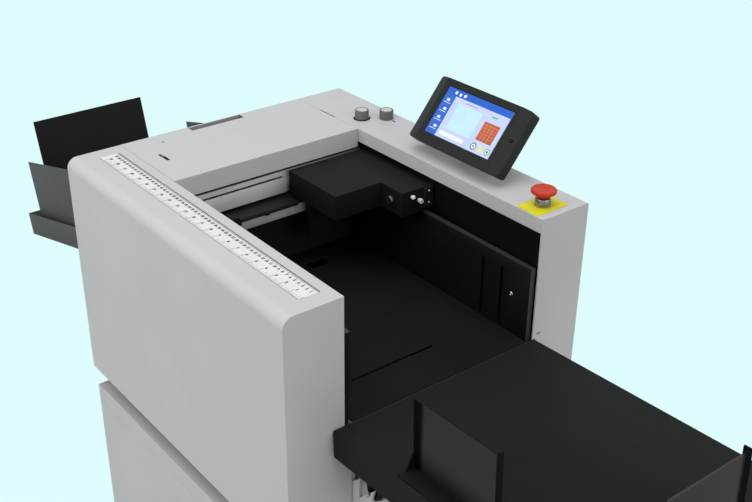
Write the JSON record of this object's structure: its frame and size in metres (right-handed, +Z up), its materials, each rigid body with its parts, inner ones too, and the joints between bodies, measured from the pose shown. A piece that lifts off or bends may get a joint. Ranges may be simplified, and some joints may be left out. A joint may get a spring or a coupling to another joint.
{
  "type": "paper creasing machine",
  "caption": "Floor-standing sheet creasing machine with a lifting feed bed, folding feed table, touch console, hinged rear lid, sloping delivery tray and a cabinet with a door.",
  "frame": {"origin": "on the floor, under the middle of the part's bounding box", "axes": "+X from delivery to feed, along the paper path; +Y towards the control arm; +Z up"},
  "size_m": [1.7154, 0.5878, 1.2406],
  "materials": {
    "body_paint": "fine satin powder coat, light grey",
    "cabinet_paint": "fine satin powder coat, light grey",
    "black_sheet": "fine matt powder coat, black",
    "tray_sheet": "fine matt powder coat, black",
    "guide_sheet": "fine matt powder coat, black",
    "frame_steel": "matt dark coat",
    "bracket_paint": "satin powder coat, off-white",
    "wall_steel": "satin grey coat",
    "bright_steel": "ground steel",
    "roller": "dark grip rubber on a steel shaft",
    "black_plastic": "fine grained black plastic",
    "console_plastic": "fine grained black plastic",
    "screen": "lit touch screen behind a clear front",
    "knob_plastic": "grey plastic with a pale cap",
    "pale_plastic": "cream plastic",
    "white_plastic": "white plastic and plated bracket",
    "ruler": "white printed strip",
    "foot_rubber": "black rubber",
    "belt_rubber": "black rubber",
    "hose_rubber": "black ribbed rubber",
    "motor_metal": "dark cast cases",
    "supply_metal": "folded aluminium",
    "collar_metal": "dull chromed ring",
    "stop_red": "orange red plastic",
    "stop_yellow": "yellow plastic plate"
  },
  "bodies": {
    "chassis": {"cabinet_shell": "cabinet_paint", "levelling_feet": "foot_rubber", "body_feet": "foot_rubber", "base_pan": "body_paint", "side_frame_left": "frame_steel", "side_frame_right": "frame_steel", "left_cover": "body_paint", "right_cover": "body_paint", "rear_panel": "body_paint", "ruler_strip": "ruler", "wall_plate": "wall_steel", "lower_wall": "black_sheet", "paper_deck": "black_sheet", "gate_bar": "wall_steel", "fence_left": "black_sheet", "fence_right": "black_sheet", "feed_head": "black_sheet", "air_fittings": "white_plastic", "vacuum_pump": "motor_metal", "vacuum_hose": "hose_rubber", "crease_matrix": "bright_steel", "drive_motors": "motor_metal", "drive_belt": "belt_rubber", "power_supply": "supply_metal", "mains_inlet": "black_plastic", "guide_rods": "bright_steel", "console_neck": "black_sheet", "stop_plate": "stop_yellow", "stop_collar": "collar_metal", "delivery_tray": "tray_sheet"},
    "door": {"cabinet_door": "cabinet_paint"},
    "lid": {"top_lid": "body_paint"},
    "bed": {"bed_plate": "black_sheet", "lift_frame": "bracket_paint"},
    "screw": {"lift_screw": "bright_steel"},
    "table": {"feed_table": "black_sheet"},
    "knob_left": {"clamp_knob_left": "black_plastic"},
    "knob_right": {"clamp_knob_right": "black_plastic"},
    "guide": {"side_guide": "guide_sheet"},
    "table_stop": {"end_stop": "guide_sheet"},
    "console": {"console_case": "console_plastic", "console_screen": "screen"},
    "knob_rear": {"adjust_knob_rear": "knob_plastic"},
    "knob_front": {"adjust_knob_front": "knob_plastic"},
    "button": {"stop_button": "stop_red"},
    "lever": {"gate_lever": "black_plastic"},
    "head_dial": {"head_knob": "pale_plastic"},
    "drum": {"suction_drum": "roller"},
    "infeed_lower": {"infeed_roller_lower": "roller"},
    "infeed_upper": {"infeed_roller_upper": "roller"},
    "exit_lower": {"exit_roller_lower": "roller"},
    "exit_upper": {"exit_roller_upper": "roller"},
    "pulley": {"motor_pulley": "bright_steel"},
    "crank": {"eccentric_shaft": "bright_steel"},
    "blade": {"blade_beam": "bright_steel", "crease_blade": "bright_steel"},
    "rocker": {"power_switch": "black_plastic"},
    "tray_stop": {"delivery_stop": "tray_sheet"},
    "tray_left": {"tray_guide_left": "guide_sheet"},
    "tray_right": {"tray_guide_right": "guide_sheet"}
  },
  "joints": [
    {"name": "door_hinge", "type": "hinge", "parent": "chassis", "child": "door", "pos_m": [-0.28715, 0.28111, 0.34], "axis": [0, 0, 1], "range_deg": [0, 95]},
    {"name": "lid_hinge", "type": "hinge", "parent": "chassis", "child": "lid", "pos_m": [-0.17165, -0.00189, 1.105], "axis": [0, 1, 0], "range_deg": [0, 75]},
    {"name": "bed_lift", "type": "slide", "parent": "chassis", "child": "bed", "axis": [0, 0, 1], "range_m": [0, 0.1]},
    {"name": "screw_turn", "type": "hinge", "parent": "chassis", "child": "screw", "pos_m": [0.06735, -0.00189, 0.8], "axis": [0, 0, 1], "range_deg": [-10, 3610]},
    {"name": "table_tilt", "type": "hinge", "parent": "bed", "child": "table", "pos_m": [0.32035, -0.00189, 0.88], "axis": [0, -1, 0], "range_deg": [-2.2, 3]},
    {"name": "clamp_turn_left", "type": "hinge", "parent": "bed", "child": "knob_left", "pos_m": [0.34535, -0.17489, 0.796], "axis": [0, 1, 0], "range_deg": [-360, 360]},
    {"name": "clamp_turn_right", "type": "hinge", "parent": "bed", "child": "knob_right", "pos_m": [0.34535, 0.17111, 0.796], "axis": [0, 1, 0], "range_deg": [-360, 360]},
    {"name": "side_guide_slide", "type": "slide", "parent": "table", "child": "guide", "axis": [0, 1, 0], "range_m": [0, 0.15]},
    {"name": "end_stop_slide", "type": "slide", "parent": "table", "child": "table_stop", "axis": [0.9993, 0, 0.0384], "range_m": [-0.15, 0.02]},
    {"name": "console_tilt", "type": "hinge", "parent": "chassis", "child": "console", "pos_m": [0.07235, 0.25979, 1.16305], "axis": [1, 0, 0], "range_deg": [-25, 16]},
    {"name": "rear_knob_turn", "type": "hinge", "parent": "chassis", "child": "knob_rear", "pos_m": [-0.19965, 0.22511, 1.128], "axis": [0, 0, 1], "range_deg": [-150, 150]},
    {"name": "front_knob_turn", "type": "hinge", "parent": "chassis", "child": "knob_front", "pos_m": [-0.17165, 0.26111, 1.128], "axis": [0, 0, 1], "range_deg": [-150, 150]},
    {"name": "stop_press", "type": "slide", "parent": "chassis", "child": "button", "axis": [0, 0, -1], "range_m": [0, 0.004], "stiffness_N_per_m": 1000, "springref_m": -0.001},
    {"name": "gate_lever_turn", "type": "hinge", "parent": "chassis", "child": "lever", "pos_m": [-0.13065, -0.09389, 1.027], "axis": [0, -1, 0], "range_deg": [0, 60]},
    {"name": "head_knob_turn", "type": "hinge", "parent": "chassis", "child": "head_dial", "pos_m": [0.00685, 0.12811, 1.059], "axis": [0, 1, 0], "range_deg": [-150, 150]},
    {"name": "drum_turn", "type": "hinge", "parent": "chassis", "child": "drum", "pos_m": [-0.07665, 0.08311, 1.049], "axis": [0, 1, 0], "continuous": true},
    {"name": "infeed_lower_turn", "type": "hinge", "parent": "chassis", "child": "infeed_lower", "pos_m": [-0.20065, -0.00189, 1.01585], "axis": [0, 1, 0], "continuous": true},
    {"name": "infeed_upper_turn", "type": "hinge", "parent": "chassis", "child": "infeed_upper", "pos_m": [-0.20065, -0.00189, 1.04415], "axis": [0, 1, 0], "continuous": true},
    {"name": "exit_lower_turn", "type": "hinge", "parent": "chassis", "child": "exit_lower", "pos_m": [-0.31065, -0.00189, 1.01585], "axis": [0, 1, 0], "continuous": true},
    {"name": "exit_upper_turn", "type": "hinge", "parent": "chassis", "child": "exit_upper", "pos_m": [-0.31065, -0.00189, 1.04415], "axis": [0, 1, 0], "continuous": true},
    {"name": "motor_turn", "type": "hinge", "parent": "chassis", "child": "pulley", "pos_m": [-0.25565, 0.21311, 0.889], "axis": [0, 1, 0], "continuous": true},
    {"name": "crank_turn", "type": "hinge", "parent": "chassis", "child": "crank", "pos_m": [-0.25565, -0.00189, 1.0775], "axis": [0, 1, 0], "range_deg": [-1, 121]},
    {"name": "blade_slide", "type": "slide", "parent": "chassis", "child": "blade", "axis": [0, 0, -1], "range_m": [0, 0.00649]},
    {"name": "switch_rock", "type": "hinge", "parent": "chassis", "child": "rocker", "pos_m": [-0.34965, 0.23911, 0.774], "axis": [0, -1, 0], "range_deg": [0, 16]},
    {"name": "tray_stop_slide", "type": "slide", "parent": "chassis", "child": "tray_stop", "axis": [0.9659, 0, 0.2588], "range_m": [0, 0.25]},
    {"name": "tray_left_slide", "type": "slide", "parent": "chassis", "child": "tray_left", "axis": [0, 1, 0], "range_m": [0, 0.015]},
    {"name": "tray_right_slide", "type": "slide", "parent": "chassis", "child": "tray_right", "axis": [0, -1, 0], "range_m": [0, 0.03]}
  ],
  "couplings": [
    {"joint": "screw_turn", "follows": "bed_lift", "rad_per_m": 628.32},
    {"joint": "infeed_upper_turn", "follows": "infeed_lower_turn", "ratio": -1},
    {"joint": "exit_lower_turn", "follows": "infeed_lower_turn", "ratio": 1},
    {"joint": "exit_upper_turn", "follows": "infeed_lower_turn", "ratio": -1},
    {"joint": "motor_turn", "follows": "infeed_lower_turn", "ratio": 1},
    {"joint": "crank_turn", "follows": "blade_slide", "rad_per_m": 322.45}
  ]
}
